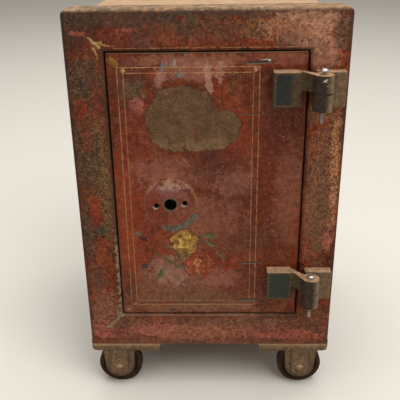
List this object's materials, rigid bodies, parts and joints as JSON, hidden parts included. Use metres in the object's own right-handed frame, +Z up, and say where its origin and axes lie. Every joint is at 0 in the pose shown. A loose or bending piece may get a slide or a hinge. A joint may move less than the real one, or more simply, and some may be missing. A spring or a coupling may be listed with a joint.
{
  "type": "cast iron floor safe",
  "caption": "Small antique floor safe on four iron wheels, worn maroon enamel with gold lines and a painted floral spray, strap hinges, dial missing.",
  "frame": {"origin": "on the floor, below the middle of the whole safe's box, hinge knuckles and axle heads included", "axes": "+Z up; -Y out of the door's face; +X to the hinge side, which is the right-hand side seen from the front"},
  "size_m": [0.35, 0.4072, 0.554],
  "materials": {
    "worn_enamel": "satin",
    "dark_hinge_paint": "satin",
    "rusty_iron": "matte",
    "inner_paint": "satin",
    "bare_steel": "satin",
    "zinc_plate": "satin",
    "brass": "satin",
    "cabinet_wood": "satin",
    "fire_filling": "matte"
  },
  "bodies": {
    "case": {"front_frame": "worn_enamel", "back_frame": "worn_enamel", "back_plate": "worn_enamel", "outer_shell": "worn_enamel", "insulation_fill": "fire_filling", "inner_liner": "inner_paint", "tie_rods": "bare_steel", "tie_rod_nuts": "rusty_iron", "cabinet_bottom": "cabinet_wood", "cabinet_top": "cabinet_wood", "cabinet_left": "cabinet_wood", "cabinet_right": "cabinet_wood", "cabinet_back": "cabinet_wood", "cabinet_shelf": "cabinet_wood", "cabinet_divider": "cabinet_wood", "frame_hinge_upper": "dark_hinge_paint", "frame_hinge_lower": "dark_hinge_paint", "frame_hinge_studs": "rusty_iron", "hinge_pin_upper": "zinc_plate", "hinge_pin_lower": "zinc_plate", "wheel_axles": "rusty_iron"},
    "door": {"door_plate": "worn_enamel", "door_pan": "inner_paint", "door_fill": "fire_filling", "lock_plate": "rusty_iron", "spindle_tube": "brass", "inner_panel": "inner_paint", "panel_screws": "bare_steel", "door_hinge_upper": "dark_hinge_paint", "door_hinge_lower": "dark_hinge_paint", "door_hinge_studs": "rusty_iron", "bolt_guides": "rusty_iron", "lock_case": "brass", "lock_cover": "brass", "lock_cover_screws": "bare_steel"},
    "bolt_work": {"bolt_bar": "bare_steel", "locking_bolts": "bare_steel", "lever_screw": "bare_steel"},
    "lever": {"fence_lever": "bare_steel"},
    "cam": {"drive_cam": "brass"},
    "disc_1": {"combination_wheel_1": "brass"},
    "disc_2": {"combination_wheel_2": "brass"},
    "disc_3": {"combination_wheel_3": "brass"},
    "front_left_wheel": {"wheel_front_left": "rusty_iron"},
    "front_right_wheel": {"wheel_front_right": "rusty_iron"},
    "back_left_wheel": {"wheel_back_left": "rusty_iron"},
    "back_right_wheel": {"wheel_back_right": "rusty_iron"}
  },
  "joints": [
    {"name": "door_swing", "type": "hinge", "parent": "case", "child": "door", "pos_m": [0.1386, -0.19185, 0.315], "axis": [0, 0, 1], "range_deg": [0, 175]},
    {"name": "bolt_slide", "type": "slide", "parent": "door", "child": "bolt_work", "axis": [-1, 0, 0], "range_m": [0, 0.016]},
    {"name": "lever_tilt", "type": "hinge", "parent": "bolt_work", "child": "lever", "pos_m": [0.0225, -0.10785, 0.3355], "axis": [0, 1, 0], "range_deg": [0, 4]},
    {"name": "cam_turn", "type": "hinge", "parent": "door", "child": "cam", "pos_m": [-0.0505, -0.10785, 0.3], "axis": [0, 1, 0], "continuous": true},
    {"name": "disc_1_turn", "type": "hinge", "parent": "door", "child": "disc_1", "pos_m": [-0.0505, -0.12135, 0.3], "axis": [0, 1, 0], "continuous": true},
    {"name": "disc_2_turn", "type": "hinge", "parent": "door", "child": "disc_2", "pos_m": [-0.0505, -0.11735, 0.3], "axis": [0, 1, 0], "continuous": true},
    {"name": "disc_3_turn", "type": "hinge", "parent": "door", "child": "disc_3", "pos_m": [-0.0505, -0.11335, 0.3], "axis": [0, 1, 0], "continuous": true},
    {"name": "front_left_wheel_spin", "type": "hinge", "parent": "case", "child": "front_left_wheel", "pos_m": [-0.1355, -0.14735, 0.0325], "axis": [0, 1, 0], "continuous": true},
    {"name": "front_right_wheel_spin", "type": "hinge", "parent": "case", "child": "front_right_wheel", "pos_m": [0.1355, -0.14735, 0.0325], "axis": [0, 1, 0], "continuous": true},
    {"name": "back_left_wheel_spin", "type": "hinge", "parent": "case", "child": "back_left_wheel", "pos_m": [-0.1355, 0.17965, 0.0325], "axis": [0, 1, 0], "continuous": true},
    {"name": "back_right_wheel_spin", "type": "hinge", "parent": "case", "child": "back_right_wheel", "pos_m": [0.1355, 0.17965, 0.0325], "axis": [0, 1, 0], "continuous": true}
  ],
  "couplings": [
    {"joint": "lever_tilt", "follows": "bolt_slide", "rad_per_m": 4.3633}
  ]
}
